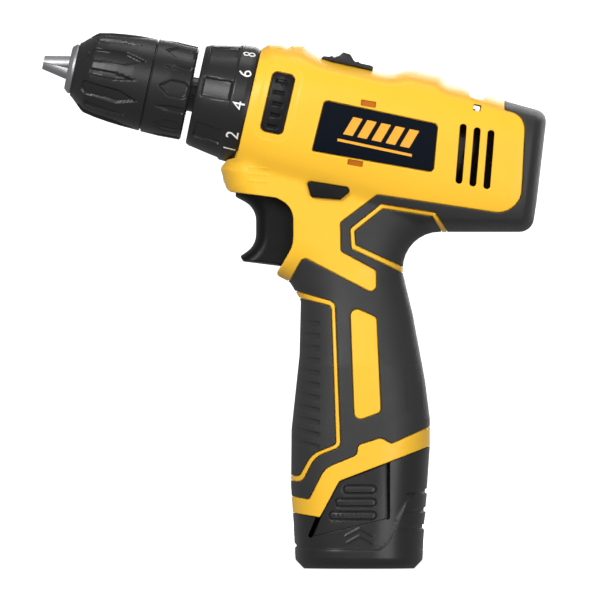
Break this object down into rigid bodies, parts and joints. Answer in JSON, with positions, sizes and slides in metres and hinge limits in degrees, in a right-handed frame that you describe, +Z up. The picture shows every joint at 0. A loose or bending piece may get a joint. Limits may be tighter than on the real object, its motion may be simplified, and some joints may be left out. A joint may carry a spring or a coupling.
{
  "type": "cordless drill",
  "caption": "Pistol-grip cordless drill standing on its slide-in battery, with a keyless chuck, numbered clutch ring, trigger, direction button and speed slide.",
  "frame": {"origin": "centre of the battery's flat base, on which the drill stands", "axes": "+Z up from the base; -X the way the chuck points; +Y towards the drill's right side, where the screws are"},
  "size_m": [0.189, 0.0476, 0.2006],
  "materials": {
    "yellow_plastic": "satin",
    "soft_rubber": "matte",
    "black_plastic": "satin",
    "grey_plastic": "satin",
    "steel": "satin",
    "bright_steel": "polished",
    "cell_wrap": "satin",
    "label_film": "satin",
    "clear_lens": "gloss",
    "red_wire": "satin",
    "black_wire": "satin"
  },
  "bodies": {
    "body": {"left_housing": "yellow_plastic", "right_housing": "yellow_plastic", "left_grip": "soft_rubber", "right_grip": "soft_rubber", "left_finger_pad": "soft_rubber", "right_finger_pad": "soft_rubber", "left_web_pad": "soft_rubber", "right_web_pad": "soft_rubber", "left_side_insert": "soft_rubber", "right_side_insert": "soft_rubber", "left_label": "label_film", "right_label": "label_film", "housing_screw_1": "steel", "housing_screw_2": "steel", "housing_screw_3": "steel", "housing_screw_4": "steel", "gear_case": "grey_plastic", "motor_plate": "grey_plastic", "clutch_ring_gear": "steel", "clutch_plate": "steel", "clutch_spring": "steel", "spindle_bearing": "steel", "motor_can": "steel", "motor_end_cap": "black_plastic", "switch_body": "grey_plastic", "led_lens": "clear_lens", "terminal_block": "black_plastic", "red_lead": "red_wire", "black_lead": "black_wire"},
    "spindle": {"output_spindle": "steel", "chuck_body": "steel", "chuck_nose_ring": "bright_steel", "chuck_rear_sleeve": "black_plastic"},
    "chuck_sleeve": {"chuck_front_sleeve": "black_plastic", "chuck_nut": "steel"},
    "jaw_1": {"chuck_jaw_1": "bright_steel"},
    "jaw_2": {"chuck_jaw_2": "bright_steel"},
    "jaw_3": {"chuck_jaw_3": "bright_steel"},
    "rotor": {"armature": "steel", "motor_pinion": "steel"},
    "carrier": {"first_carrier": "steel"},
    "clutch_ring": {"clutch_collar": "black_plastic"},
    "clutch_nut": {"clutch_nut": "grey_plastic"},
    "speed_slide": {"speed_selector": "black_plastic", "shift_ring_gear": "steel"},
    "trigger": {"trigger": "black_plastic"},
    "direction_lever": {"direction_lever": "black_plastic"},
    "battery": {"battery_case": "black_plastic", "battery_cell_1": "cell_wrap", "battery_cell_2": "cell_wrap", "battery_cell_3": "cell_wrap", "battery_cap": "black_plastic"},
    "release_left": {"release_tab_left": "black_plastic"},
    "release_right": {"release_tab_right": "black_plastic"},
    "second_planet_1": {"second_planet_1": "steel"},
    "first_planet_1": {"first_planet_1": "steel"},
    "second_planet_2": {"second_planet_2": "steel"},
    "first_planet_2": {"first_planet_2": "steel"},
    "second_planet_3": {"second_planet_3": "steel"},
    "first_planet_3": {"first_planet_3": "steel"}
  },
  "joints": [
    {"name": "spindle_spin", "type": "hinge", "parent": "body", "child": "spindle", "pos_m": [-0.06375, 0, 0.178], "axis": [-0.9781, 0, 0.2079], "continuous": true},
    {"name": "rotor_spin", "type": "hinge", "parent": "body", "child": "rotor", "pos_m": [-0.06375, 0, 0.178], "axis": [-0.9781, 0, 0.2079], "continuous": true},
    {"name": "carrier_spin", "type": "hinge", "parent": "body", "child": "carrier", "pos_m": [-0.06375, 0, 0.178], "axis": [-0.9781, 0, 0.2079], "continuous": true},
    {"name": "second_planet_1_spin", "type": "hinge", "parent": "spindle", "child": "second_planet_1", "pos_m": [-0.02755, 0, 0.17997], "axis": [-0.9781, 0, 0.2079], "continuous": true},
    {"name": "first_planet_1_spin", "type": "hinge", "parent": "carrier", "child": "first_planet_1", "pos_m": [-0.01679, 0, 0.17768], "axis": [-0.9781, 0, 0.2079], "continuous": true},
    {"name": "second_planet_2_spin", "type": "hinge", "parent": "spindle", "child": "second_planet_2", "pos_m": [-0.0305, 0.00818, 0.1661], "axis": [-0.9781, 0, 0.2079], "continuous": true},
    {"name": "first_planet_2_spin", "type": "hinge", "parent": "carrier", "child": "first_planet_2", "pos_m": [-0.01974, 0.00818, 0.16381], "axis": [-0.9781, 0, 0.2079], "continuous": true},
    {"name": "second_planet_3_spin", "type": "hinge", "parent": "spindle", "child": "second_planet_3", "pos_m": [-0.0305, -0.00818, 0.1661], "axis": [-0.9781, 0, 0.2079], "continuous": true},
    {"name": "first_planet_3_spin", "type": "hinge", "parent": "carrier", "child": "first_planet_3", "pos_m": [-0.01974, -0.00818, 0.16381], "axis": [-0.9781, 0, 0.2079], "continuous": true},
    {"name": "chuck_sleeve_turn", "type": "hinge", "parent": "spindle", "child": "chuck_sleeve", "pos_m": [-0.06375, 0, 0.178], "axis": [-0.9781, 0, 0.2079], "range_deg": [0, 2640]},
    {"name": "jaw_1_slide", "type": "slide", "parent": "spindle", "child": "jaw_1", "axis": [0.9531, 0.225, -0.2026], "range_m": [0, 0.02201]},
    {"name": "jaw_2_slide", "type": "slide", "parent": "spindle", "child": "jaw_2", "axis": [0.9126, -0.1125, -0.3931], "range_m": [0, 0.02201]},
    {"name": "jaw_3_slide", "type": "slide", "parent": "spindle", "child": "jaw_3", "axis": [0.9936, -0.1125, -0.012], "range_m": [0, 0.02201]},
    {"name": "clutch_turn", "type": "hinge", "parent": "body", "child": "clutch_ring", "pos_m": [-0.06375, 0, 0.178], "axis": [-0.9781, 0, 0.2079], "range_deg": [0, 144]},
    {"name": "clutch_nut_slide", "type": "slide", "parent": "clutch_ring", "child": "clutch_nut", "axis": [-0.9781, 0, 0.2079], "range_m": [0, 0.00241]},
    {"name": "speed_shift", "type": "slide", "parent": "body", "child": "speed_slide", "axis": [-0.9781, 0, 0.2079], "range_m": [0, 0.003]},
    {"name": "trigger_pull", "type": "slide", "parent": "body", "child": "trigger", "axis": [0.989, 0, -0.1478], "range_m": [0, 0.0055], "stiffness_N_per_m": 700, "springref_m": -0.005},
    {"name": "direction_slide", "type": "slide", "parent": "body", "child": "direction_lever", "axis": [0, 1, 0], "range_m": [-0.003, 0.003]},
    {"name": "battery_slide", "type": "slide", "parent": "body", "child": "battery", "axis": [0, 0, -1], "range_m": [0, 0.085]},
    {"name": "release_left_press", "type": "hinge", "parent": "battery", "child": "release_left", "pos_m": [0, -0.0215, 0.0127], "axis": [-1, 0, 0], "range_deg": [0, 2], "stiffness_Nm_per_rad": 0.6, "springref_deg": -5.73},
    {"name": "release_right_press", "type": "hinge", "parent": "battery", "child": "release_right", "pos_m": [0, 0.0215, 0.0127], "axis": [1, 0, 0], "range_deg": [0, 2], "stiffness_Nm_per_rad": 0.6, "springref_deg": -5.73}
  ],
  "couplings": [
    {"joint": "rotor_spin", "follows": "spindle_spin", "ratio": 20.25},
    {"joint": "carrier_spin", "follows": "spindle_spin", "ratio": 4.5},
    {"joint": "second_planet_1_spin", "follows": "spindle_spin", "ratio": -2.8},
    {"joint": "first_planet_1_spin", "follows": "spindle_spin", "ratio": -12.6},
    {"joint": "second_planet_2_spin", "follows": "spindle_spin", "ratio": -2.8},
    {"joint": "first_planet_2_spin", "follows": "spindle_spin", "ratio": -12.6},
    {"joint": "second_planet_3_spin", "follows": "spindle_spin", "ratio": -2.8},
    {"joint": "first_planet_3_spin", "follows": "spindle_spin", "ratio": -12.6},
    {"joint": "jaw_1_slide", "follows": "chuck_sleeve_turn", "m_per_rad": 0.00047746},
    {"joint": "jaw_2_slide", "follows": "chuck_sleeve_turn", "m_per_rad": 0.00047746},
    {"joint": "jaw_3_slide", "follows": "chuck_sleeve_turn", "m_per_rad": 0.00047746},
    {"joint": "clutch_nut_slide", "follows": "clutch_turn", "m_per_rad": 0.00095493}
  ]
}
